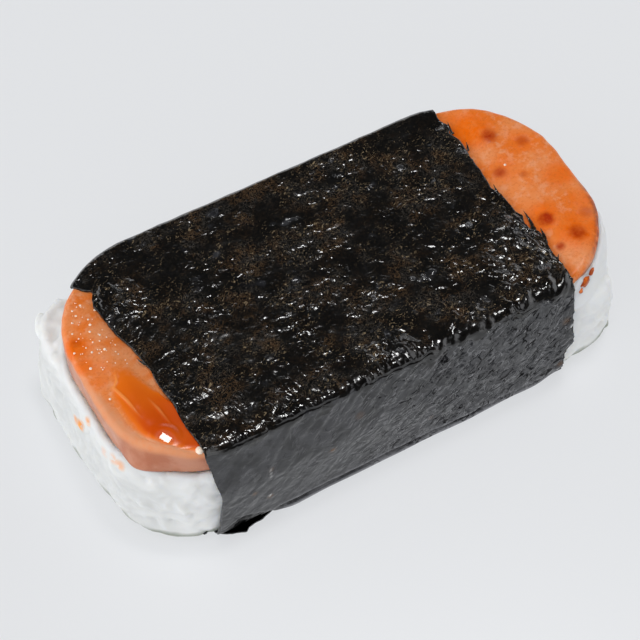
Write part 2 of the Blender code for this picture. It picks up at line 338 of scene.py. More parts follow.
def all_grains():
    """The layer, the grains that stand out, and the rows beside the slice."""
    pair = np.ones((2, 1))
    standing = (STANDING_OUT, pair * (0, 0, 1), pair * POINTING, 0 * pair[:, 0], 0 * pair[:, 0])
    groups = [layer(np.random.default_rng(3)), (*standing, pair * (1.0, 0.75, 0.8))]
    draw = np.random.default_rng(8)
    groups += [row_beside_slice(draw, *row) for row in BESIDE_SLICE]
    return [np.concatenate(group) for group in zip(*groups)]


def above_table(points):
    """A mesh's points kept off the table: what would go under it is pressed flat on it."""
    return with_height(points[:, :2], np.maximum(points[:, 2], RICE_LOW))


def spread(points):
    """The block's foot moved out at both ends and, at the right, to the front."""
    x, y, z = points.T
    down = smooth((15 - z) / 13)
    to_left, to_right, to_front = FOOT_SPREAD
    left = to_left * smooth((-x - 38) / 8) * smooth((y + 8) / 10)
    right = smooth((x - 36) / 8)
    in_front = to_front * right * smooth(-y / 10)
    return np.column_stack((x + down * (to_right * right - left), y + down * in_front, z))


def fused(points, faces):
    """Joins closed shells that cross into one skin, and softens the creases between them."""
    lump = new_object("lump", points, faces)
    skin = lump.modifiers.new("skin", "REMESH")
    skin.mode = "VOXEL"
    skin.voxel_size = VOXEL * MM
    soften = lump.modifiers.new("soften", "SMOOTH")
    soften.iterations = 5
    made = lump.evaluated_get(bpy.context.evaluated_depsgraph_get()).to_mesh()
    points = np.empty(len(made.vertices) * 3)
    made.vertices.foreach_get("co", points)
    faces = [tuple(face.vertices) for face in made.polygons]
    lump.to_mesh_clear()
    bpy.data.meshes.remove(lump.data)
    return points.reshape(-1, 3) / MM, faces


def rice_end(side, laid):
    """One bare end, left (-1) or right (1): the core, cut flat under the seaweed, and its grains."""
    ring = rounded(np.maximum(RICE - CORE_INSET, 2), 1.2)
    points, faces = capped(slab(ring, RICE_LOW, RICE_HIGH - 0.4, RICE_RIM, 1.2))
    cut = BAND_LEFT + END_DEPTH if side < 0 else BAND_RIGHT - END_DEPTH
    points[:, 0] = side * np.maximum(side * points[:, 0], side * cut)
    keep = laid[0][:, 0] * side > 0
    grain_points, grain_faces = laid_grains(*(part[keep] for part in laid))
    points, faces = joined(((points, faces), (above_table(grain_points), grain_faces)))
    return fused(spread(points), faces)


def rice_middle():
    """The plain block that the seaweed hides, between the fused ends."""
    ring = rounded(RICE - 1.2 * REACH_ONLY, 1.5)
    points, faces = capped(slab(ring, 1.5, RICE_HIGH - 0.1, RICE_RIM, 2.5))
    points[:, 0] = np.clip(points[:, 0], BAND_LEFT + 4, BAND_RIGHT - 4)
    return points, faces


laid = all_grains()
rice_mesh = joined((rice_end(-1, laid), rice_end(1, laid), rice_middle()))
rice = new_piece("rice_block", *rice_mesh, "rice", ("rice",))


def is_socket(value):
    """Whether a value is another node's output rather than a constant."""
    return isinstance(value, bpy.types.NodeSocket)


def node(kind, inputs=(), tree=None, **settings):
    """A shader node with its settings made, and its inputs set or, from a socket, linked. It is
    added to the tree that its first linked socket is in, unless a tree is given."""
    inputs = dict(inputs)
    tree = tree or next(value.id_data for value in inputs.values() if is_socket(value))
    made = tree.nodes.new("ShaderNode" + kind)
    for name, value in settings.items():
        setattr(made, name, value)
    for key, value in inputs.items():
        if is_socket(value):
            tree.links.new(value, made.inputs[key])
        else:
            made.inputs[key].default_value = value
    return made


def maths(operation, *values):
    """The result of a Math node."""
    return node("Math", enumerate(values), operation=operation).outputs[0]


def times(first, second):
    """Two values multiplied."""
    return maths("MULTIPLY", first, second)


def measured(operation, first, second):
    """The distance of two places, or the dot product of two directions."""
    return node("VectorMath", {0: first, 1: second}, operation=operation).outputs["Value"]


def ramp(value, low, high, to_low=0.0, to_high=1.0):
    """Takes a value from low..high to another range, level at both ends."""
    inputs = {"Value": value, "From Min": low, "From Max": high, "To Min": to_low, "To Max": to_high}
    return node("MapRange", inputs, interpolation_type="SMOOTHSTEP").outputs["Result"]


def mixed(share, first, second):
    """One colour blended into another."""
    inputs = {0: share}
    for key, colour in ((6, first), (7, second)):
        inputs[key] = colour if is_socket(colour) else (*colour, 1)
    return node("Mix", inputs, data_type="RGBA").outputs[2]


def painted(colour, *coats):
    """A colour with others laid over it in turn, each where its mask is 1."""
    for mask, coat in coats:
        colour = mixed(mask, colour, coat)
    return colour


def noise(place, size, detail=3.0, fine=0.5, twist=0.0, result="Fac"):
    """Blender's noise, its features about this many millimetres across; the value is 0 to 1."""
    inputs = {"Vector": place, "Scale": 1 / size, "Detail": detail, "Roughness": fine}
    return node("TexNoise", {**inputs, "Distortion": twist}).outputs[result]


def patches(place, size, detail, *limits):
    """Noise taken to another range, as ramp does."""
    return ramp(noise(place, size, detail), *limits)


def parts_of(place):
    """The X, Y and Z of a place."""
    return node("SeparateXYZ", {0: place}).outputs


def marked(place, name):
    """The value that the piece has marked under this name."""
    return node("Attribute", tree=place.id_data, attribute_name=name).outputs["Fac"]


def new_material(name, **constants):
    """A material whose Principled shader has these constants, and the place in millimetres."""
    material = bpy.data.materials.new(name)
    material.use_nodes = True
    shader = material.node_tree.nodes["Principled BSDF"]
    for key, value in constants.items():
        shader.inputs[key.replace("_", " ")].default_value = value
    place = node("TexCoord", tree=material.node_tree).outputs["Object"]
    return material, node("VectorMath", {0: place, "Scale": 1 / MM}, operation="SCALE").outputs[0]


def shade(material, sockets, height=None, strength=1.0, distance=1.0):
    """Links sockets to the Principled shader's inputs, and a height to its normal, as a bump."""
    if height is not None:
        bump = {"Height": height, "Strength": strength, "Distance": distance * MM}
        sockets["Normal"] = node("Bump", bump).outputs["Normal"]
    tree = material.node_tree
    for name, socket in sockets.items():
        tree.links.new(socket, tree.nodes["Principled BSDF"].inputs[name])


STAINS = (  # sauce that ran down onto the rice: its middle, its radius, and how strong
    ((-48.5, 1.3, 11.9), 1.6, 1.0),
    ((-48.5, 0.2, 13.6), 1.2, 0.8),
    ((-48.6, 3.0, 11.2), 1.4, 0.7),
    ((-47.9, -1.8, 16.8), 1.3, 0.8),
    ((-47.0, -12.0, 16.5), 1.5, 0.6),
    ((-47.4, -10.3, 16.4), 1.5, 0.5),
    ((-47.9, -7.7, 15.4), 1.5, 0.3),
)


def cooked_rice():
    """Moist and cloudy, with sauce stains. Painted light makes it paler beside the slice and on the ledge,
    and a painted shadow makes it grey-green near the table.
    """
    material, place = new_material(
        "cooked rice",
        Roughness=0.55,
        Subsurface_Weight=1.0,
        Subsurface_Scale=2.4 * MM,
        Subsurface_Radius=(1.0, 0.95, 0.85),
        IOR=1.33,
    )
    axes = parts_of(place)
    colour = mixed(patches(place, 4, 4, 0.35, 0.7), (0.63, 0.637, 0.63), (0.68, 0.687, 0.68))
    # Painted light: the rice is painted paler beside the slice at the left end and up on the ledge, where
    # shade falls.
    painted_light_beside_slice = maths("MAXIMUM", ramp(axes["X"], -46, -37), ramp(axes["Z"], 12, 17, 0.0, 0.5))
    # Painted shadow: the rice is painted dark grey-green up to about 2 mm above the table, along its foot.
    low = ramp(axes["Z"], 2.2, 0.8)
    colour = painted(colour, (painted_light_beside_slice, (0.86, 0.865, 0.86)), (low, (0.30, 0.32, 0.28)))
    blot = patches(place, 1.6, 4, 0.34, 0.50, 0.1, 1.0)
    for middle, radius, strength in STAINS:
        inside = ramp(measured("DISTANCE", place, middle), radius, 0.2 * radius, 0.0, strength)
        colour = mixed(times(inside, blot), colour, (0.90, 0.36, 0.09))
    shade(material, {"Base Color": colour}, noise(place, 0.7), 0.25, 0.08)
    return material


COOKED_RICE = cooked_rice()
rice.data.materials.append(COOKED_RICE)


# ------------------------------------------------------------
# The slice: luncheon meat cut 6 mm thick and fried, so its rim is browned and its face salmon
# with browned spots. It lies loose on the rice; past the band it swells and is a little uneven.

SLICE_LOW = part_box("luncheon_meat")[0].z / MM
SLICE_HIGH = 23.7
SLICE_RIM = 1.2
SLICE_SPACING = 0.5
SWELL = 0.8
SPREAD_AT = np.array((-44.3, -15.0))  # where its foot has spread a little, at the front left
SPREAD_BY, SPREAD_RADIUS = 1.5, 3.6
SPOTS = (  # browned spots on the slice: X, Y, radius, and how dark
    (40.3, 12.8, 1.6, 0.75), (44.9, 8.8, 1.3, 0.5), (37.7, 5.0, 1.3, 0.6), (40.9, 2.1, 0.8, 0.45),
    (38.7, -8.2, 1.5, 1.0), (41.8, -13.6, 1.7, 0.7), (37.7, -14.5, 0.9, 0.75), (45.6, -10.5, 1.4, 0.35),
    (-41.8, -12.7, 0.7, 0.5), (-41.7, -4.4, 0.6, 0.3), (-44.4, 8.3, 1.0, 0.35),
)
HALOS = (  # wider patches where the glaze has soaked in: the same, and how strong
    (38.0, 15.8, 4.5, 1.0), (36.2, 19.0, 3.0, 0.7), (44.5, 9.0, 3.0, 0.5), (38.5, 4.8, 3.2, 0.5),
    (46.5, -1.0, 3.2, 0.8), (38.7, -7.6, 3.4, 0.9), (42.2, -13.0, 4.6, 0.9), (46.5, -8.0, 3.0, 0.6),
    (-44.9, 7.5, 2.4, 1.0), (-45.2, 3.4, 1.8, 0.8), (-42.8, 1.6, 2.0, 0.35), (-44.2, -0.6, 1.6, 0.4),
)
PALES = (  # where less syrup lies on the meat and its salmon pink shows
    (39.1, -17.0, 3.4, 0.8), (42.1, -2.8, 3.0, 0.35), (37.4, 9.5, 2.4, 0.35), (46.0, 4.0, 2.4, 0.3),
    (-42.3, 4.6, 2.6, 0.5), (-39.2, 8.5, 2.4, 0.8), (-38.0, 3.2, 2.0, 0.9), (-37.0, -1.0, 1.7, 0.9),
    (-36.6, -4.6, 1.2, 0.8), (-42.6, 13.6, 2.6, 0.45),
)
MARKS = ("spot", "halo", "pale", "pink", "wall", "crust")


def loose(points):
    """0 where the band holds the slice flat, to 1 from 5 mm past it."""
    return smooth((beyond_band(points[:, 0]) - 0.4) / 5)


def swell(points):
    """How far the slice's top stands above its height under the band, at each place."""
    flat = points * (1, 1, 0)
    hump = SWELL * (1 + 0.6 * uneven(flat, 9, 3))
    ripple = 0.10 * uneven(flat, 3.2, 4) + 0.05 * uneven(flat, 1.5, 5)
    return loose(points) * (hump + ripple)


def slice_points(rings):
    """The slab's rings with the top swollen and the wall uneven, fading out under the band. Round
    SPREAD_AT the foot moves out by a bell curve."""
    points = rings.reshape(-1, 3).copy()
    away = points[:, :2] - CENTRE
    outward = away / np.linalg.norm(away, axis=1, keepdims=True)
    rim = smooth(1 - inset_of(points, SLICE) / 2.5)
    wobble = 0.40 * uneven(points * (1, 1, 0.5), 8, 6) + 0.16 * uneven(points, 2.6, 7)
    points[:, :2] += outward * (wobble * loose(points) * rim)[:, None]
    up = smooth((points[:, 2] - SLICE_LOW) / (SLICE_HIGH - SLICE_LOW))
    points[:, 2] += swell(points) * up
    near = np.linalg.norm(points[:, :2] - SPREAD_AT, axis=1) / SPREAD_RADIUS
    points[:, :2] += outward * (SPREAD_BY * np.exp(-(near**2)) * (1 - up))[:, None]
    return points


def blotches(points, spots):
    """Soft round patches: the strongest of s·smooth(1.35 - distance / radius) at each place."""
    masks = [
        strength * smooth(1.35 - np.hypot(points[:, 0] - x, points[:, 1] - y) / radius)
        for x, y, radius, strength in spots
    ]
    return np.max(masks, axis=0)


def run_off(points, inset):
    """Where the syrup has run off the front left rim and left it pink: a border that widens
    towards the front, to 1.9 mm, with a soft and uneven inner edge."""
    width = 2.4 * smooth((8 - points[:, 1]) / 16) - 0.5 + 0.5 * uneven(points * (1, 1, 0), 3, 8)
    return smooth((width - inset) / 1.3 + 0.5) * smooth((-30 - points[:, 0]) / 3)


def mark(piece, **marks):
    """Stores values for each point of a piece, for its material to read."""
    for name, values in marks.items():
        stored = piece.data.attributes.new(name, "FLOAT", "POINT")
        stored.data.foreach_set("value", values.astype(np.float32))


def mark_meat(piece, points):
    """What the fried meat's colour needs at each point: all the MARKS."""
    inset = inset_of(points, SLICE)
    crest = SLICE_HIGH + swell(points)
    lower = smooth((SLICE_LOW + 1.3 - points[:, 2]) / 1.0)
    right = smooth((points[:, 0] - 40) / 4) * smooth((1.5 - inset) / 1.3)
    mark(
        piece,
        spot=blotches(points, SPOTS),
        halo=blotches(points, HALOS),
        pale=blotches(points, PALES),
        pink=run_off(points, inset),
        wall=smooth((crest - points[:, 2] - 0.5) / 1.6) * smooth(2 - inset),
        crust=np.maximum(0.8 * lower, right * smooth((-2 - points[:, 1]) / 6)),
    )


slice_rings = slab(rounded(SLICE, SLICE_SPACING), SLICE_LOW, SLICE_HIGH, SLICE_RIM, SLICE_SPACING)
slice_rings = slice_points(slice_rings).reshape(slice_rings.shape)
fried_points, fried_faces = capped(slice_rings)
fried = new_piece("fried_slice", fried_points, fried_faces, "luncheon_meat", ("luncheon_meat",))
mark_meat(fried, fried_points)


def fried_meat_group():
    """The fried meat's colour and fine relief, which slice, glaze and crumbs share."""
    group = bpy.data.node_groups.new("fried meat", "ShaderNodeTree")
    sockets = [("Place", "INPUT", "Vector"), *((name, "INPUT", "Float") for name in MARKS)]
    for name, way, kind in (*sockets, ("Color", "OUTPUT", "Color"), ("Height", "OUTPUT", "Float")):
        group.interface.new_socket(name=name, in_out=way, socket_type="NodeSocket" + kind)
    given = group.nodes.new("NodeGroupInput").outputs
    place = given["Place"]
    mottle = noise(place, 1.3, 5, 0.6)
    grit = noise(place, 0.5, 4, 0.65)
    patch = patches(place, 5, 3, 0.38, 0.62)
    colour = painted(
        mixed(patch, (0.84, 0.262, 0.076), (0.84, 0.195, 0.026)),
        (ramp(mottle, 0.46, 0.66, 0.0, 0.8), (0.85, 0.345, 0.165)),
        (times(given["pale"], ramp(mottle, 0.3, 0.6, 0.6, 1.0)), (0.84, 0.335, 0.145)),
        (times(given["halo"], ramp(mottle, 0.25, 0.7, 0.35, 1.25)), (0.86, 0.150, 0.002)),
        (times(given["spot"], ramp(mottle, 0.25, 0.7, 0.7, 1.4)), (0.42, 0.030, 0.0)),
        (ramp(grit, 0.50, 0.36, 0.0, 0.30), (0.60, 0.115, 0.018)),
        (times(given["pink"], ramp(mottle, 0.3, 0.6, 0.75, 1.0)), (0.74, 0.315, 0.155)),
        (given["wall"], mixed(patch, (0.56, 0.245, 0.150), (0.47, 0.165, 0.088))),
        (times(given["crust"], ramp(mottle, 0.3, 0.62)), (0.26, 0.040, 0.006)),
    )
    out = group.nodes.new("NodeGroupOutput")
    group.links.new(colour, out.inputs["Color"])
    group.links.new(maths("MULTIPLY_ADD", mottle, 0.6, grit), out.inputs["Height"])
    return group


MEAT_GROUP = fried_meat_group()


def meat_look(place):
    """The colour and height of the fried meat at this place, from the piece's own marks."""
    given = {name: marked(place, name) for name in MARKS}
    made = node("Group", {"Place": place, **given}, node_tree=MEAT_GROUP)
    return made.outputs["Color"], made.outputs["Height"]


FRIED_MEAT, place = new_material(
    "fried meat",
    Roughness=0.30,
    Subsurface_Weight=0.12,
    Subsurface_Scale=1.5 * MM,
    Subsurface_Radius=(1.0, 0.4, 0.2),
    IOR=1.36,
    Specular_IOR_Level=0.3,
)
colour, height = meat_look(place)
shade(FRIED_MEAT, {"Base Color": colour}, height, 0.3, 0.12)
fried.data.materials.append(FRIED_MEAT)


# ------------------------------------------------------------
# Fat beads: droplets of the meat's own fat, driven out by the pan's heat. They stand on the slice as tiny
# domes, and their near-white colour is a painted highlight. A few are as large as a pinhead; most are a
# fine spray at its left end.

# The last and largest bead, at the slice's front edge, is placed there as a painted highlight.
BEADS = np.array((  # the larger ones: X, Y and radius
    (39.3, 5.8, 0.26), (-44.1, 10.4, 0.20), (-45.5, 6.6, 0.22), (-40.7, 10.6, 0.26), (-41.4, 9.2, 0.22),
    (-40.8, 4.7, 0.26), (-44.5, 2.4, 0.28), (-44.3, -4.5, 0.24), (-39.4, -7.4, 0.30), (-40.4, 15.2, 0.20),
    (-42.1, 14.7, 0.18), (-42.0, 13.4, 0.22), (-43.2, 12.4, 0.18), (-40.5, 11.8, 0.20), (-40.2, 7.9, 0.20),
    (-42.9, 5.2, 0.22), (-38.6, 13.4, 0.20), (-41.9, 7.0, 0.16), (-43.6, 8.9, 0.16), (-35.9, -20.0, 0.75),
))
SPRAY = 70
SPRAY_REACH = np.array(((-46.5, 0.5), (-37.5, 17.0)))
LEFT_BARE = np.array((  # how near to the band the spray comes: Y, X
    (-2.0, -37.4), (2.5, -37.6), (7.6, -38.8), (11.7, -39.3), (14.5, -39.6), (17.5, -40.0),
))


def bead_spots():
    """X, Y and radius of all beads; the spray keeps to the slice's bare top."""
    draw = np.random.default_rng(5)
    spots = draw.uniform(*SPRAY_REACH, (SPRAY, 2))
    radii = draw.uniform(0.07, 0.15, SPRAY)
    keep = (inset_of(spots, SLICE) > 1.6) & (spots[:, 0] < np.interp(spots[:, 1], *LEFT_BARE.T))
    return np.concatenate((BEADS, with_height(spots, radii)[keep]))


def domes(beads):
    """Flattened balls, sunk to their middles in the slice: rings of 8 points between two poles."""
    tilt = np.radians((-60, -25, 10, 40, 68))
    across, away = circle(8)
    rings = np.stack((across, away, 0 * across), 1) * np.cos(tilt)[:, None, None]
    rings[..., 2] = np.sin(tilt)[:, None] * 0.75
    places = beads * (1, 1, 0)
    places[:, 2] = SLICE_HIGH + swell(places)
    return repeated(capped(rings), places, np.eye(3) * beads[:, 2, None, None])


fat = new_piece("fat_beads_painted_highlight", *domes(bead_spots()), "luncheon_meat")
# Painted highlight: the beads' cream to white colour stands in for the lamp's glints on them.
material, place = new_material("fat painted as highlights", Roughness=0.12, IOR=1.45)
shade(material, {"Base Color": mixed(noise(place, 1.0), (1.0, 0.74, 0.52), (1.0, 0.90, 0.80))})
fat.data.materials.append(material)


# ------------------------------------------------------------
# The glaze: soy and sugar boiled down to a syrup, brushed on hot. At the left end it has run
# together into a thin pool that ends against the band. It is a lens on the slice's own surface.

POOL = np.array((  # the pool's free edge seen from above, from its tip at the back to the band
    (-39.6, 3.6), (-41.4, 0.9), (-43.2, -2.2), (-44.2, -4.6), (-44.1, -7.7), (-43.9, -10.2), (-43.3, -12.7),
    (-42.3, -14.6), (-40.9, -16.4), (-39.0, -18.2), (-36.9, -19.8), (-34.5, -21.2),
))
POOL_BANDSIDE = np.array((  # its other side, along and under the band
    (-39.0, 3.6), (-38.6, 0.6), (-38.0, -2.4), (-37.0, -5.4), (-36.2, -8.6), (-34.8, -12.0), (-33.4, -17.0),
    (-32.8, -21.0),
))
POOL_GRID = (160, 60)
POOL_DEPTH = 0.32
POOL_OFF = 0.012  # how far it stands off the slice where it is thinnest
POOL_SUNK = 0.35  # how far its underside lies in the slice
DOME_RADIUS = 17.0
DOME_SEEN = np.array((-39.8, -15.7))  # the place on the dome where the lamp shows
DOME_SLOPE = np.array((-0.015, 0.213))  # how it climbs there along X and Y
DOME_RISE = 0.34
RIDGES = np.array((  # folds left in the thick syrup: two ends, and the height at each
    (-41.2, 0.2, -41.9, -2.1, 0.03, 0.15), (-41.9, -2.1, -42.9, -2.9, 0.15, 0.15),
    (-42.9, -2.9, -42.1, -6.3, 0.15, 0.17), (-42.1, -6.3, -41.5, -10.9, 0.17, 0.02),
    (-38.8, -7.3, -38.2, -9.9, 0.05, 0.12), (-38.2, -9.9, -37.6, -14.7, 0.12, 0.02),
))
RIDGE_HALF_WIDTH = 0.29
RIDGE_HEIGHT = 0.16


def curve(points, count):
    """A smooth line through the points: cubic pieces with even slopes (Catmull-Rom)."""
    padded = np.concatenate((2 * points[:1] - points[1:2], points, 2 * points[-1:] - points[-2:-1]))
    spots = np.linspace(0, len(points) - 1, count)
    first = np.minimum(spots.astype(int), len(points) - 2)
    t = (spots - first)[:, None]
    a, b, c, d = (padded[first + k] for k in range(4))
    return 0.5 * (2 * b + (c - a) * t + (2 * a - 5 * b + 4 * c - d) * t**2 + (3 * b - a - 3 * c + d) * t**3)


def ridge_height(points):
    """Each ridge is a line with a bell-shaped section, its height changing evenly along it."""
    total = 0
    for *ends, first, last in RIDGES:
        start, end = np.reshape(ends, (2, 2))
        run = end - start
        share = np.clip((points[:, :2] - start) @ run / (run @ run), 0, 1)
        away = np.linalg.norm(points[:, :2] - start - share[:, None] * run, axis=1)
        height = first + (last - first) * share
        total = np.maximum(total, height * np.exp(-((away / RIDGE_HALF_WIDTH) ** 2)))
    return total


def rim_drop(points):
    """How far the slice's top has fallen at its rounded rim: a quarter circle of SLICE_RIM."""
    inset = np.clip(inset_of(points, SLICE), 0, SLICE_RIM)
    return SLICE_RIM - np.sqrt(SLICE_RIM**2 - (SLICE_RIM - inset) ** 2)


def lip(distance, width):
    """How full the pool is this far from an edge: 1 - (1 - d)², 1 from this width on."""
    return 1 - (1 - np.clip(distance / width, 0, 1)) ** 2


def glaze_surface(rows, columns):
    """The pool's top: lines across from the free edge to the other side, raised by its thickness.

    A lip rises from either edge: over 3.2 mm at the free edge, less at the front, and over 2.5 mm
    at the other as far as that lies bare. Slow waves vary the thickness, and it thins out to its
    tip. Near the front it stands as a dome, part of a ball of DOME_RADIUS. Returns the points,
    the thickness, and where on the dome the surface is smoothest.
    """
    free = curve(POOL, rows)
    inner = curve(POOL_BANDSIDE, rows)
    across = 0.5 - 0.5 * np.cos(np.linspace(0, math.pi, columns))
    plan = free[:, None] + (inner - free)[:, None] * across[None, :, None]
    points = np.dstack((plan, np.zeros(plan.shape[:2]))).reshape(-1, 3)
    width = np.linalg.norm(plan - free[:, None], axis=-1).reshape(-1)
    from_inner = np.linalg.norm(plan - inner[:, None], axis=-1).reshape(-1)
    back = np.repeat(np.linspace(0, 1, rows), columns)
    full = lip(width, 3.2 - 1.6 * smooth((back - 0.4) / 0.3))
    full = full * lip(from_inner + 3 * smooth((back - 0.4) / 0.35), 2.5)
    pinch = smooth(back / 0.4) * 0.95 + 0.05
    thick = POOL_DEPTH * full * pinch * (1 + 0.25 * uneven(points, 5, 21))
    base = SLICE_HIGH + swell(points) + POOL_OFF + thick * 0.9 + ridge_height(points) * full
    off = points[:, :2] - DOME_SEEN
    away = np.linalg.norm(off, axis=1)
    dome = off @ DOME_SLOPE - away**2 / (2 * DOME_RADIUS)
    dome = dome + SLICE_HIGH + swell(np.array(((*DOME_SEEN, 0.0),))) + DOME_RISE
    share = 1 - smooth((away - 1.5) / 1.8)
    points[:, 2] = base + (dome - base) * share - rim_drop(points)
    return points, thick, smooth((1.9 - away) / 0.8)


def border(grid):
    """The outermost numbers of a grid, once round."""
    return np.concatenate((grid[0, :-1], grid[:-1, -1], grid[-1, :0:-1], grid[:0:-1, 0]))


top_points, glaze_thickness, glossy = glaze_surface(*POOL_GRID)
under_points = top_points - (0, 0, 1) * (glaze_thickness[:, None] + POOL_SUNK)
count = len(top_points)
edge = border(np.arange(count).reshape(POOL_GRID))
after = np.roll(edge, -1)
sides = np.stack((edge, after, after + count, edge + count), 1)
sheet_faces = grid_faces(*POOL_GRID, False)
glaze = new_piece(
    "glaze_pool",
    np.concatenate((top_points, under_points)),
    [*sheet_faces[:, ::-1], *(sheet_faces + count), *sides],
    "luncheon_meat",
)
both = np.concatenate((top_points, top_points))
mark_meat(glaze, both)
mark(
    glaze,
    thickness=np.tile(glaze_thickness / POOL_DEPTH, 2),
    # Painted highlight: the ridges' crests are marked here to be painted paler.
    ridge=ridge_height(both) / RIDGE_HEIGHT,
    glossy=np.tile(glossy, 2),
)
material, place = new_material("glaze", IOR=1.45)
thickness = marked(place, "thickness")
toward_front = ramp(parts_of(place)["Y"], -1, -14, 0.15, 1.0)
deep = times(ramp(thickness, 0.5, 1.05), toward_front)
colour = painted(
    meat_look(place)[0],
    (ramp(thickness, 0.02, 0.65), mixed(deep, (0.88, 0.172, 0.007), (0.66, 0.076, 0.001))),
    # Painted highlight: the syrup's ridges are painted a paler orange along their crests, for the light
    # they catch.
    (ramp(marked(place, "ridge"), 0.1, 1.0, 0.0, 0.7), (0.93, 0.33, 0.075)),
)
roughness = ramp(marked(place, "glossy"), 0.0, 1.0, 0.25, 0.05)
shade(material, {"Base Color": colour, "Roughness": roughness})
glaze.data.materials.append(material)


# ------------------------------------------------------------
# The band: a third of a sheet of dried seaweed, wound once round rice and slice while dry. The
# rice's steam softens it, so it clings, crumples and shines. Its outer end laps under the block,
# with a torn corner that shows at the front left foot; its cut edges are frayed.

SHEET = 0.32
LAP = 0.175  # the height of the outer lap's middle
INNER_LAP = LAP + 0.40
BAND_OFF = 0.475  # from the slice to the sheet's middle
BAND_TOP = SLICE_HIGH + BAND_OFF
BAND_FRONT = CENTRE[1] - SLICE[0, 2] - BAND_OFF
BAND_BACK = CENTRE[1] + SLICE[0, 3] + BAND_OFF
BAND_COLUMNS = 185
TOP_TURN = 1.2
FOOT_TURN = 0.7
HEM_RIDGE, HEM_CREASE, HEM_SHOULDER = 2.5, 1.75, 1.6  # heights along the foot of the front
HEM_OUT = (0.20, -0.12, 0.80)  # how far ridge, crease and shoulder stand out
TEAR_SUNK = 0.35
EDGE_SUNK = 0.18
LEFT_TOP = np.array((  # the left cut edge on top, from front to back: Y, X
    (-22.3, -35.7), (-18.6, -35.6), (-14.0, -36.0), (-10.6, -35.7), (-5.2, -36.1), (-2.1, -36.1),
    (2.5, -36.6), (7.6, -37.8), (11.7, -38.3), (13.8, -38.5), (15.6, -37.9), (17.0, -37.1), (17.6, -38.4),
    (18.4, -39.2), (19.6, -40.2), (20.6, -39.4),
))
RIGHT_TOP = np.array((  # the right cut edge on top
    (-22.3, 35.0), (-17.9, 35.7), (-15.3, 35.5), (-11.4, 36.0), (-9.8, 36.1), (-9.0, 35.1), (-7.3, 34.8),
    (-5.6, 35.6), (-4.2, 35.0), (0.3, 35.0), (2.6, 34.3), (6.8, 34.7), (11.8, 34.9), (14.6, 35.3),
    (17.2, 34.5), (18.3, 35.6), (20.5, 34.6), (24.5, 35.2),
))
FRONT_EDGES = np.array((  # both cut edges up the front: Z, left X, right X
    (0.0, -35.6, 34.2), (3.0, -35.5, 33.9), (6.5, -35.1, 34.1), (9.0, -34.7, 35.3), (12.0, -34.5, 35.2),
    (15.5, -34.8, 34.7), (19.0, -35.2, 35.2), (23.7, -35.7, 35.0),
))
TORN_LINE = np.array((  # the front's lower edge over the torn corner at the left: X, Z
    (-37.0, 2.4), (-34.6, 2.9), (-33.0, 3.9), (-31.4, 4.7), (-29.9, 4.4), (-28.4, 3.6), (-26.8, 2.6),
    (-25.3, 1.6), (-24.2, 0.2), (-23.0, -1.5), (40.0, -1.5),
))
LAP_REACH = np.array((  # how far the outer lap reaches past the front: X, reach
    (-37.0, -1.6), (-35.6, -1.2), (-34.4, -0.4), (-33.2, 0.1), (-31.9, 0.45), (-30.9, 1.05), (-30.0, 0.4),
    (-28.8, 0.15), (-27.4, 0.15), (-26.3, -0.2), (-25.1, -0.6), (-23.5, -1.2), (40.0, -1.2),
))
PUCKERS = (  # where the sheet on top has puckered: X, Y, radius, and how strongly
    (30.5, -13.0, 7.0, 1.0), (33.0, -7.0, 4.0, 0.7), (22.0, -19.0, 6.0, 0.6), (1.0, -20.0, 7.0, 0.8),
    (-18.0, -20.0, 7.0, 0.5), (-31.0, -15.0, 8.0, 0.6), (-34.5, 13.5, 5.0, 0.55), (-25.0, 4.0, 8.0, 0.3),
)
PLEATS = (  # small folds that cross the front's upper rim: X, half width and height
    (-19.5, 0.8, 0.15), (-15.0, 0.9, 0.18), (-11.5, 0.7, 0.16), (-9.0, 0.7, 0.18), (-6.9, 0.7, 0.22),
    (-4.7, 0.6, 0.22), (-1.8, 0.8, 0.26), (1.1, 0.7, 0.24), (4.1, 0.8, 0.26), (8.5, 1.0, 0.40),
    (12.6, 0.9, 0.34), (17.7, 1.1, 0.42), (22.0, 0.8, 0.28), (26.0, 1.2, 0.45), (31.1, 1.0, 0.42),
    (34.2, 0.8, 0.30),
)
FLECKS = (  # thin brown places on the front: X, Z, radius, and how brown
    (-28.6, 10.1, 0.55, 0.8), (-25.7, 6.9, 0.6, 0.9), (-13.6, 12.0, 0.6, 0.9), (-25.2, 14.8, 0.5, 0.5),
    (-8.0, 17.5, 0.9, 0.35), (6.0, 7.0, 0.5, 0.4), (33.4, 16.4, 0.9, 0.8), (33.2, 4.0, 0.7, 0.6),
)
PALE_DOTS = (  # pale dots on the front
    (-25.8, 7.3, 0.35, 0.9), (-25.4, 12.9, 0.30, 0.5), (-25.35, 13.8, 0.30, 0.5), (-25.3, 14.7, 0.30, 0.5),
)


def straight(start, end, spacing):
    """Points along a straight run, without its end."""
    steps = max(round(math.dist(start, end) / spacing), 1)
    return start + np.subtract(end, start) * np.arange(steps)[:, None] / steps


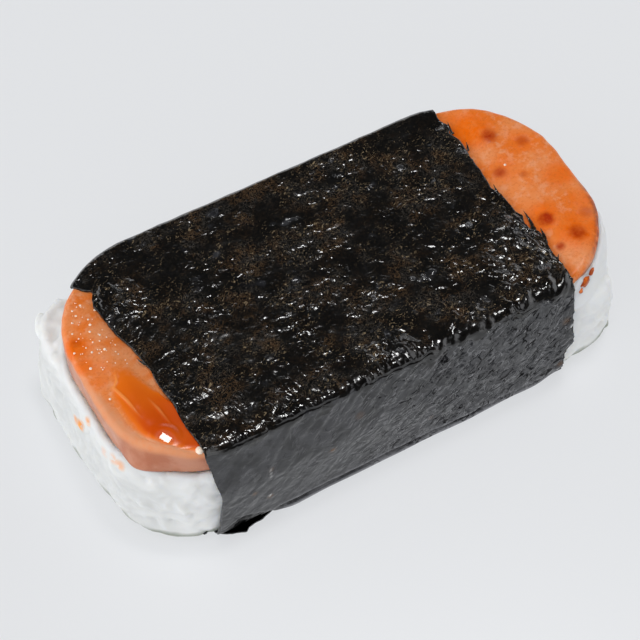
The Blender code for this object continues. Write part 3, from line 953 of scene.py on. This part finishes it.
def band_section(fine, coarse):
    """The sheet's middle line in Y and Z: inner lap, front, top, back, and the outer lap below.

    Straight runs joined by quarter turns, clockwise seen from +X; the laps are spaced coarsely.
    """
    outer = FOOT_TURN + INNER_LAP - LAP
    turns = (  # the middle of each quarter turn, its radius, where it starts, the spacing before it
        (BAND_FRONT + FOOT_TURN, INNER_LAP + FOOT_TURN, FOOT_TURN, -90, coarse),
        (BAND_FRONT + TOP_TURN, BAND_TOP - TOP_TURN, TOP_TURN, 180, fine),
        (BAND_BACK - TOP_TURN, BAND_TOP - TOP_TURN, TOP_TURN, 90, fine),
        (BAND_BACK - outer, LAP + outer, outer, 0, fine),
    )
    here = np.array((CENTRE[1] + 12, INNER_LAP))
    runs = []
    for y, z, radius, first, spacing in turns:
        steps = max(round(radius * math.pi / 2 / fine), 4)
        turn = np.radians(first - 90 * np.arange(steps + 1) / steps)
        arc = (y, z) + radius * np.stack((np.cos(turn), np.sin(turn)), 1)
        runs += [straight(here, arc[0], spacing), arc[:-1]]
        here = arc[-1]
    end = (BAND_FRONT, LAP)
    section = np.concatenate((*runs, straight(here, end, coarse), (end,)))
    return section if len(section) % 2 else section[1:]


def side_of(outline, x, sign):
    """The Y where an outline's front (sign -1) or back (1) passes each X, moved out by BAND_OFF."""
    (left, right, front, back), radii = outline
    depth, corners = (back, radii[[1, 2]]) if sign > 0 else (front, radii[[0, 3]])
    y = CENTRE[1] + sign * (depth + BAND_OFF) + 0 * x
    for way, reach, radius in zip((1, -1), (right, left), corners):
        beyond = (x - CENTRE[0]) * way - (reach - radius)
        bow = np.sqrt(np.maximum((radius + BAND_OFF) ** 2 - beyond**2, 0))
        y = np.where(beyond > 0, CENTRE[1] + sign * (depth - radius + bow), y)
    return y


def wall_y(x, y, z):
    """Moves a point of the straight section in or out, to follow meat above and rice below."""
    share = smooth((z - 12.5) / 11.5)
    moved = y * 0
    for sign, straight_wall in ((-1, BAND_FRONT), (1, BAND_BACK)):
        on_meat = side_of(SLICE, x, sign)
        on_rice = side_of(RICE + 0.4 * REACH_ONLY, x, sign)
        wall = on_rice + (on_meat - on_rice) * share - CENTRE[1]
        scaled = CENTRE[1] + (y - CENTRE[1]) * wall / (straight_wall - CENTRE[1])
        moved = np.where((y - CENTRE[1]) * sign >= 0, scaled, moved)
    return moved


def straightened(edge):
    """The Y that each point of a cut edge on top has in the straight section, and its X."""
    y, x = edge.T
    turned = wall_y(x, y, 0 * y + BAND_TOP)
    return CENTRE[1] + (y - CENTRE[1]) ** 2 / (turned - CENTRE[1]), x


def uneven_along(line, size, seed):
    """Unevenness along a line."""
    return uneven(np.stack((line, 0 * line, 0 * line), -1), size, seed)


def wrinkles(x, along, front_part, right_part, pucker):
    """How far the damp sheet stands out: broad waves, streaky folds and a fine crumple.

    Folds are (1 - |noise|)³ of noise stretched along one direction, so they have sharp crests.
    They run up to the right across the front, deepest at the right and towards the rim there. On
    top they are slight, but for the puckered places, where they run across the band.
    """
    plain = np.stack((x, along, 0 * x), -1)
    bent = plain + np.stack((uneven(plain, 6, 31), uneven(plain, 6, 32), 0 * x), -1) * 1.3

    def folds(angle, length, width, seed):
        """Streaky folds that run this way, 0 between them to 1 on their crests."""
        turn = math.radians(angle)
        run = bent[..., 0] * math.cos(turn) + bent[..., 1] * math.sin(turn)
        cross = bent[..., 1] * math.cos(turn) - bent[..., 0] * math.sin(turn)
        field = uneven(np.stack((run / length, cross / width, 0 * run), -1), 1, seed)
        return (1 - np.abs(field)) ** 3

    waves = 0.5 + 0.5 * uneven(plain, 9, 33)
    on_top = 0.45 * folds(8, 7, 2.4, 34) + 1.1 * pucker * folds(-74, 4.5, 1.6, 35)
    on_front = 1.3 * folds(46, 11, 2.8, 36) + 0.7 * folds(36, 6, 1.4, 37)
    on_front = on_front * (0.35 + 1.2 * right_part)
    streaks = on_top * (1 - front_part) + on_front * front_part
    crumple = uneven(bent, 1.1, 38) * 0.5 + uneven(bent, 2.0, 39)
    much = 0.03 + 0.06 * pucker + 0.03 * front_part
    return 0.2 * waves + 0.22 * streaks + much * crumple


def pleats(x, y, z):
    """The small folds over the rim: bell-shaped ridges that lean left as they run down the front."""
    total = 0
    for middle, half_width, height in PLEATS:
        away = x - middle + 0.8 * (BAND_TOP - z)
        total = total + height * np.exp(-((away / half_width) ** 2))
    return total * smooth((z - 15) / 7) * smooth((CENTRE[1] - 17.5 - y) / 4)


def hem(x, z):
    """How far a place low on the front is on its ridge, in the crease under that, and on the
    shoulder at the foot, each from 0 to 1."""
    here = smooth((x + 26) / 5) * (0.85 + 0.4 * uneven_along(x, 9, 40))
    shift = 0.20 * uneven_along(x, 7, 41)
    ridge = np.exp(-(((z - HEM_RIDGE - shift) / 0.55) ** 2))
    crease = np.exp(-(((z - HEM_CREASE - shift) / 0.26) ** 2))
    shoulder = smooth((HEM_SHOULDER + shift - z) / 0.6) * smooth((33 - x) / 6)
    return here * ridge, here * crease, here * shoulder


def below_tear(x, z):
    """How far below the torn line a place on the front lies: 0 above it, 1 from 0.5 mm below it."""
    return smooth((np.interp(x, *TORN_LINE.T) - z) / 0.5)


def frayed(along, seed, depth):
    """A cut edge's unevenness: slow, middling and fine noise, the fine with long fibres."""
    slow = 0.18 * uneven_along(along, 5, seed) + 0.12 * uneven_along(along, 1.7, seed + 1)
    return slow + depth * np.maximum(uneven_along(along, 0.7, seed + 2), 0) ** 2


def band_middle():
    """The sheet's middle surface: the section carried from cut edge to cut edge.

    Each point then moves out of the sheet by its wrinkles, by the front's hem and pleats, and
    back in at the torn corner and along the cut edges on top.
    """
    section = band_section(0.34, 1.4)
    y, z = section.T
    along = np.cumsum(np.hypot(*np.diff(section, axis=0, prepend=section[:1]).T))
    on_top = smooth((z - SLICE_HIGH + 1.2) / 1.2)
    left, right = (np.interp(z, FRONT_EDGES[:, 0], FRONT_EDGES[:, side]) for side in (1, 2))
    left = left + (np.interp(y, *straightened(LEFT_TOP)) - left) * on_top
    right = right + (np.interp(y, *straightened(RIGHT_TOP)) - right) * on_top
    behind = smooth((y - CENTRE[1] - 18) / 5) * (1 - on_top)
    left = left - behind * 3.2 * smooth(z / SLICE_HIGH)
    share = np.linspace(0, 1, BAND_COLUMNS)
    hold = smooth(np.abs(share - 0.5) * 2 * 6 - 5)
    left_move = left - frayed(along, 50, 0.35) - BAND_LEFT
    right_move = right + frayed(along, 55, 0.8) - BAND_RIGHT
    move = np.where(share < 0.5, left_move[:, None], right_move[:, None]) * hold
    x = np.linspace(BAND_LEFT, BAND_RIGHT, BAND_COLUMNS) + move
    y, z, along = (np.broadcast_to(part[:, None], x.shape) for part in (y, z, along))
    first = np.hypot(*(section - (BAND_FRONT, BAND_TOP - TOP_TURN)).T).argmin()
    front_part = 1 - smooth((along - along[first, 0] - 2) / 6)
    right_part = smooth((x + 5) / 25)
    in_front = y < CENTRE[1]
    sign = np.where(y > CENTRE[1], 1, -1)
    wall = np.where(sign > 0, BAND_BACK, BAND_FRONT) - CENTRE[1]
    beside = np.maximum(np.abs(y - CENTRE[1]) - np.abs(wall) + TOP_TURN, 0)
    above = np.maximum(z - BAND_TOP + TOP_TURN, 0)
    size = np.hypot(beside, above) + 1e-6
    pucker = blotches(np.column_stack((x.flat, y.flat)), PUCKERS).reshape(x.shape) * on_top[:, None]
    off = wrinkles(x, along, front_part, right_part, pucker) * smooth((z - 0.8) / 2.4)
    foot = sum(out * part for out, part in zip(HEM_OUT, hem(x, z)))
    off = off + (foot + pleats(x, y, z)) * in_front
    off = off - TEAR_SUNK * below_tear(x, z) * in_front * (z > LAP + 0.01)
    at_edge = smooth(1 - np.minimum(x - x[:, :1], x[:, -1:] - x) / 3)
    off = off - EDGE_SUNK * at_edge * smooth(z - SLICE_HIGH + 1)
    new_y = wall_y(x, y, z) + sign * beside / size * off
    new_y[-1] -= np.interp(x[-1], *LAP_REACH.T) + 0.12 * uneven_along(x[-1], 0.9, 46)
    return np.stack((x, new_y, z + above / size * off), -1)


def sheet_shell(middle, thickness):
    """A closed sheet: a fine outer face, an inner face with half as many rows and columns.

    They lie half the thickness off the middle, square to its two slopes. Along the border each
    inner edge meets two outer ones in a five-sided face.
    """
    normal = np.cross(np.gradient(middle, axis=1), np.gradient(middle, axis=0))
    normal = normal / np.linalg.norm(normal, axis=-1, keepdims=True)
    outer = middle + normal * thickness / 2
    inner = (middle - normal * thickness / 2)[::2, ::2]
    count = outer[..., 0].size
    out_ring = border(np.arange(count).reshape(outer.shape[:2]))
    in_ring = border(np.arange(inner[..., 0].size).reshape(inner.shape[:2])) + count
    ring = [np.roll(out_ring, -step)[::2] for step in range(3)]
    rim = np.stack((*ring, np.roll(in_ring, -1), in_ring), 1)
    inner_faces = grid_faces(*inner.shape[:2], False)[:, ::-1] + count
    points = np.concatenate((outer.reshape(-1, 3), inner.reshape(-1, 3)))
    return points, [*grid_faces(*outer.shape[:2], False), *inner_faces, *rim]


def mark_sheet(piece, points):
    """What the seaweed's look needs at each point: puckered places, brown flecks, pale dots, the tear and
    crease that are painted black as painted shade, and the hem that is painted light grey as a painted
    reflection."""
    x, z = points[:, 0], points[:, 2]
    on_top = smooth((z - BAND_TOP + 2) / 1.5)
    in_front = points[:, 1] < CENTRE[1] - 15
    ridge, crease, shoulder = hem(x, z)
    mark(
        piece,
        pucker=blotches(points, PUCKERS) * on_top,
        fleck=blotches(points[:, ::2], FLECKS) * in_front * (1 - on_top),
        worn=blotches(points[:, ::2], PALE_DOTS) * in_front,
        # Painted shade: the torn corner and the crease under the hem are marked here to be painted near
        # black.
        matte=np.maximum(below_tear(x, z), smooth((crease - 0.6) / 0.3)) * in_front,
        # Painted reflection: the hem's ridge and the shoulder at the foot are marked here to be painted
        # light grey.
        hem=np.maximum(0.35 * ridge, shoulder) * in_front,
    )


def drawn_out(place, angles, stretch):
    """The place for a noise that is to be drawn out along X, turned by these angles."""
    turned = tuple(math.radians(angle) for angle in angles)
    inputs = {"Vector": place, "Rotation": turned, "Scale": (stretch, 1.0, 1.0)}
    return node("Mapping", inputs, vector_type="TEXTURE").outputs[0]


def total(start, *parts):
    """The sum of a number and of each value times its factor."""
    for value, factor in parts:
        start = maths("MULTIPLY_ADD", value, factor, start)
    return start


def line_of(field, width):
    """1 along the lines where a noise passes its middle value, falling to 0 beside them."""
    return ramp(maths("ABSOLUTE", maths("SUBTRACT", field, 0.5)), width, 0.0)


def seaweed():
    """Pressed algae: a mat of short dark fibres with brown thin places and a faint damp gloss.

    On top it is dark with brown and golden fibres, which fade out along the front rim as painted shade. The
    front is greyer, painted lighter towards its foot and the right as a painted reflection; its slanting
    cracks are painted black as painted shade, it has pale hairs, and its hem is painted light grey as a
    painted reflection. The torn corner and the crease under the hem are painted black as painted shade.
    Each has its own relief, calm along the rim.
    """
    material, place = new_material("seaweed", IOR=1.6)
    axes = parts_of(place)
    scalloped = total(-3.5, (noise(place, 3.2, 1), 7.0), (axes["Z"], 1.0))
    wall = ramp(scalloped, BAND_TOP - 0.8, BAND_TOP - 1.7)
    rim = ramp(axes["Z"], BAND_TOP + 0.05, BAND_TOP - 0.4)
    pucker, fleck, matte, worn, painted_hem_sheen = (
        marked(place, name) for name in ("pucker", "fleck", "matte", "worn", "hem")
    )
    warp = {0: noise(place, 2.5, 2, result="Color"), 1: (1.2, 1.2, 1.2), 2: place}
    bent = node("VectorMath", warp, operation="MULTIPLY_ADD").outputs[0]
    to_rim = ramp(axes["Y"], -22.2, -19.6, 0.15, 1.0)
    to_right = ramp(axes["X"], -20, 18, 0.25, 1.0)

    light = mixed(patches(place, 3.2, 3, 0.42, 0.62), (0.046, 0.040, 0.034), (0.090, 0.052, 0.026))
    strands = line_of(noise(bent, 1.0, 3, 0.65, 0.5), 0.035)
    threads = line_of(noise(bent, 0.5, 2, twist=0.5), 0.045)
    fibre = maths("MAXIMUM", strands, times(threads, 0.6))
    fibre = times(fibre, patches(place, 5.5, 2, 0.40, 0.60, 0.12, 1.0))
    # Painted shade: the fibres fade out towards the front rim, which is left plain near-black.
    fibre = times(fibre, times(ramp(rim, 0.0, 1.0, 1.0, 0.1), to_rim))
    gold = ramp(noise(drawn_out(bent, (0, 0, 20), 1.6), 0.42, 3, 0.65, 1.0), 0.58, 0.69)
    # Painted shade: the golden specks also fade out towards the front rim.
    gold = times(times(gold, patches(place, 6, 2, 0.42, 0.60, 0.1, 1.0)), to_rim)
    on_top = painted((0.0030, 0.0028, 0.0027), (fibre, light), (gold, (0.25, 0.185, 0.11)))

    slant = drawn_out(bent, (0, -41, 0), 3.5)
    # Painted shade: the cracks, which are also relief, are painted black, and Metallic below takes their
    # sheen away.
    cracks_painted_shade = times(line_of(noise(slant, 1.5, 1), 0.045), patches(place, 2.4, 1, 0.52, 0.57))
    cracks_painted_shade = times(cracks_painted_shade, to_right)
    hairs = times(line_of(noise(slant, 1.2, 2), 0.03), patches(place, 3, 1, 0.48, 0.58))
    blotch = noise(bent, 4, 2)
    on_wall = painted(
        (0.002, 0.002, 0.003),
        (ramp(blotch, 0.4, 0.6), (0.028, 0.028, 0.032)),
        # Painted reflection: the front is painted lighter grey towards its foot and, in blotches, towards
        # the right, for the floor's sheen on it.
        (ramp(axes["Z"], 20, 3, 0.0, 0.6), (0.022, 0.022, 0.025)),
        (times(to_right, ramp(blotch, 0.38, 0.62, 0.5, 1.0)), (0.040, 0.041, 0.045)),
        (times(hairs, to_right), (0.17, 0.17, 0.18)),
        # Painted reflection: the hem's ridge and shoulder are painted light grey, for the floor mirrored in
        # them.
        (painted_hem_sheen, (0.34, 0.34, 0.36)),
        (cracks_painted_shade, (0.0, 0.0, 0.0)),
        (fleck, (0.10, 0.045, 0.014)),
        (worn, (0.55, 0.54, 0.53)),
    )
    # Painted shade: the colour of the torn corner and the crease, near black with faint golden specks.
    torn = mixed(gold, (0.002, 0.002, 0.002), (0.05, 0.045, 0.04))

    grit = noise(bent, 0.9, 1, twist=0.8)
    crumple = noise(bent, 1.9, 1, twist=0.8)
    across = noise(drawn_out(bent, (0, 0, -74), 2.2), 1.4, 1, twist=0.4)
    across = times(across, times(pucker, ramp(rim, 0.0, 1.0, 1.0, 0.3)))
    top_height = total(-0.135, (grit, 0.06), (across, 0.75), (crumple, 0.21))
    top_height = times(top_height, patches(place, 7, 1, 0.40, 0.60, 0.5, 1.5))
    fold = noise(drawn_out(bent, (0, -46, 0), 3.0), 3.0, 2, 0.4)
    ridge = times(line_of(noise(slant, 2.2, 1), 0.12), patches(place, 5, 1, 0.45, 0.6))
    wall_height = total(
        -0.725, (grit, 0.04), (noise(slant, 1.0, 1), 0.06), (crumple, 0.6), (fold, 0.75),
        (times(ridge, to_right), 0.24), (cracks_painted_shade, -0.15),
    )
    wall_height = times(wall_height, ramp(axes["X"], -18, 18, 0.3, 1.6))
    height = node("Mix", {0: wall, 2: top_height, 3: wall_height}, data_type="FLOAT").outputs[0]
    calm = times(
        ramp(axes["Z"], BAND_TOP - 0.6, BAND_TOP - 0.3),
        ramp(axes["Z"], BAND_TOP + 0.1, BAND_TOP - 0.3),
    )
    sockets = {
        "Base Color": painted(on_top, (wall, on_wall), (matte, torn)),
        "Roughness": patches(place, 4, 2, 0.4, 0.6, 0.10, 0.18),
        # Painted shade: Metallic over black in the cracks and on the tear and crease takes their sheen
        # away.
        "Metallic": times(maths("MAXIMUM", times(cracks_painted_shade, wall), matte), 0.9),
    }
    shade(material, sockets, times(height, ramp(calm, 0.0, 1.0, 1.0, 0.2)))
    return material


band_points, band_faces = sheet_shell(band_middle(), SHEET)
band = new_piece("seaweed_band", band_points, band_faces, "nori_band", ("nori_band",))
mark_sheet(band, band_points)
SEAWEED = seaweed()
band.data.materials.append(SEAWEED)


# ------------------------------------------------------------
# Torn slivers: along the band's cut edges, mostly the right one, the dry sheet has torn along its
# fibres, so that thin strips hang on by one end over the slice. They are the same sheet.

SLIVERS = (  # root and tip, X, Y, Z; width at the root; bow to the side
    ((35.0, -10.6, 24.25), (36.3, -4.6, 24.30), 1.1, -0.35),
    ((35.6, -12.8, 24.25), (36.8, -9.3, 24.25), 0.9, -0.20),
    ((34.6, 0.2, 24.30), (35.0, 3.0, 24.35), 0.6, 0.10),
    ((35.0, 16.6, 24.30), (35.8, 19.6, 24.30), 0.7, 0.15),
    ((35.3, 11.8, 24.35), (36.1, 13.9, 24.30), 0.5, -0.10),
    ((35.3, -17.4, 24.15), (36.5, -15.6, 24.05), 0.5, 0.10),
    ((-36.2, -1.0, 24.30), (-36.9, 0.9, 24.40), 0.5, 0.10),
)


def sliver(root, tip, width, bow):
    """A flat spike: an oval section whose width falls as (1 - t)^0.8 along a bowed line."""
    t = np.linspace(0, 0.97, 14)[:, None]
    run = np.subtract(tip, root)
    side = np.cross((0, 0, 1), run) / np.linalg.norm(run[:2])
    spine = root + run * t + side * bow * np.sin(math.pi * t)
    across, up = circle(8)
    ragged = 1 + 0.35 * uneven(spine, 0.6, 60)[:, None]
    ring = side * (across * 0.5 * width * (1 - t) ** 0.8 * ragged)[..., None]
    return capped(spine[:, None] + ring + (0, 0, 1) * (up * 0.13 * (1 - 0.6 * t))[..., None])


slivers = new_piece("torn_slivers", *joined([sliver(*row) for row in SLIVERS]), "nori_band")
slivers.data.materials.append(SEAWEED)


# ------------------------------------------------------------
# Crumbs: three browned crumbs of the slice stuck to the rice under its front right rim, a scrap
# of seaweed at the foot of the rice, and a bit of rice on the band's right edge.

CRUMBS = (  # name, middle, half sizes, slot, and turn about Z in degrees
    ("meat_crumb", (38.4, -21.4, 21.3), (1.4, 0.5, 1.0), "luncheon_meat", 25),
    ("meat_crumb_small", (37.0, -22.2, 20.5), (0.6, 0.4, 0.6), "luncheon_meat", 10),
    ("crust_crumb", (40.3, -20.5, 21.9), (0.8, 0.35, 0.5), "luncheon_meat", 30),
    ("seaweed_scrap", (-37.0, -21.6, 0.9), (0.8, 0.5, 0.5), "nori_band", 35),
    ("rice_crumb", (34.4, -23.9, 14.4), (0.6, 0.45, 1.1), "rice", -20),
)
CRUMB_MATERIALS = {"luncheon_meat": FRIED_MEAT, "nori_band": SEAWEED, "rice": COOKED_RICE}


def crumb(middle, half, turn, seed):
    """A lumpy ball: its radius is 1 + 0.35 of noise, scaled to the crumb's half sizes."""
    tilt = np.radians(np.linspace(-78, 78, 11))[:, None]
    across, away = circle(16)
    ball = np.dstack((np.cos(tilt) * across, np.cos(tilt) * away, np.sin(tilt) + 0 * across))
    lumpy = ball * (1 + 0.35 * uneven(ball, 0.8, seed))[..., None] * np.array(half)
    turned = lumpy @ np.array(Matrix.Rotation(math.radians(-turn), 3, "Z"))
    points, faces = capped(turned + middle)
    return above_table(points), faces


for seed, (name, middle, half, slot, turn) in enumerate(CRUMBS, 70):
    points, faces = crumb(middle, half, turn, seed)
    piece = new_piece(name, points, faces, slot)
    piece.data.materials.append(CRUMB_MATERIALS[slot])
    if slot == "luncheon_meat":
        mark(piece, crust=np.full(len(points), 0.9), halo=np.full(len(points), 0.8))


# ------------------------------------------------------------
# Where it stands: a plain pale floor in an even, bright studio, with a soft window-shaped lamp
# above and its fainter glow round it. The studio is dark behind the block, ahead of it and
# overhead, so that the seaweed, which mirrors it, stays dark.

HALF_FLOOR = 1500.0
CAMERA_AIM = Vector((-1.20, 1.82, 9.25)) * MM
CAMERA_TURNS = ((-29.5, "Z"), (90 - 54.4, "X"), (-0.2, "Z"))  # azimuth, elevation and roll
CAMERA_DISTANCE = 333 * MM
CAMERA_LENS = 104.85
STUDIO_LIGHT = 1.53
BACKDROP = (0.46, 0.47, 0.48)
LAMP_TOWARD = Vector((0.18, 0.10, 0.98)).normalized()

corners = [(x * HALF_FLOOR, y * HALF_FLOOR, 0) for x, y in ((-1, -1), (1, -1), (1, 1), (-1, 1))]
floor = new_object("floor", corners, [(0, 1, 2, 3)])
floor.data.materials.append(new_material(
    "pale floor",
    Roughness=0.35,
    Base_Color=(0.21, 0.214, 0.218, 1),
    Emission_Color=(0.96, 0.975, 1.0, 1),
    Emission_Strength=0.60,
)[0])

camera_data = bpy.data.cameras.new("camera")
camera_data.lens = CAMERA_LENS
camera = bpy.data.objects.new("camera", camera_data)
bpy.context.scene.collection.objects.link(camera)
aimed = Matrix.Translation(CAMERA_AIM)
for angle, axis in CAMERA_TURNS:
    aimed = aimed @ Matrix.Rotation(math.radians(angle), 4, axis)
camera.matrix_world = aimed @ Matrix.Translation((0, 0, CAMERA_DISTANCE))
bpy.context.scene.camera = camera

back = aimed.col[2]
DARK = (  # dark patches: direction, degrees from it where it ends and where it is full, light left
    ((-back.x, -back.y, back.z), 54, 36, 0.02),
    ((0.287, -0.813, 0.507), 42, 22, 0.03),
    ((0.287, -0.30, 0.91), 34, 16, 0.05),
)
world = bpy.data.worlds.new("studio")
world.use_nodes = True
tree = world.node_tree
sky = tree.nodes["Background"]
way = node("TexCoord", tree=tree).outputs["Generated"]
bright = 1.0
for toward, end, full, left in DARK:
    limits = (math.cos(math.radians(angle)) for angle in (end, full))
    bright = times(ramp(measured("DOT_PRODUCT", way, toward), *limits, 1.0, left), bright)
walls = mixed(bright, (0, 0, 0), (0.97, 0.985, 1.0))
seen = node("LightPath", tree=tree).outputs["Is Camera Ray"]
tree.links.new(mixed(seen, walls, BACKDROP), sky.inputs["Color"])
sky.inputs["Strength"].default_value = STUDIO_LIGHT
bpy.context.scene.world = world

for name, distance, width, depth, power in (
    ("window lamp", 1.2, 0.22, 0.15, 3.4),
    ("window glow", 1.25, 0.56, 0.40, 0.5),
):
    light = bpy.data.lights.new(name, "AREA")
    light.shape = "RECTANGLE"
    light.size = width
    light.size_y = depth
    light.energy = power
    lamp = bpy.data.objects.new(name, light)
    bpy.context.scene.collection.objects.link(lamp)
    aimed = LAMP_TOWARD.to_track_quat("Z", "Y").to_matrix().to_4x4()
    lamp.matrix_world = Matrix.Translation(LAMP_TOWARD * distance) @ aimed

bpy.context.scene.view_settings.view_transform = "Standard"
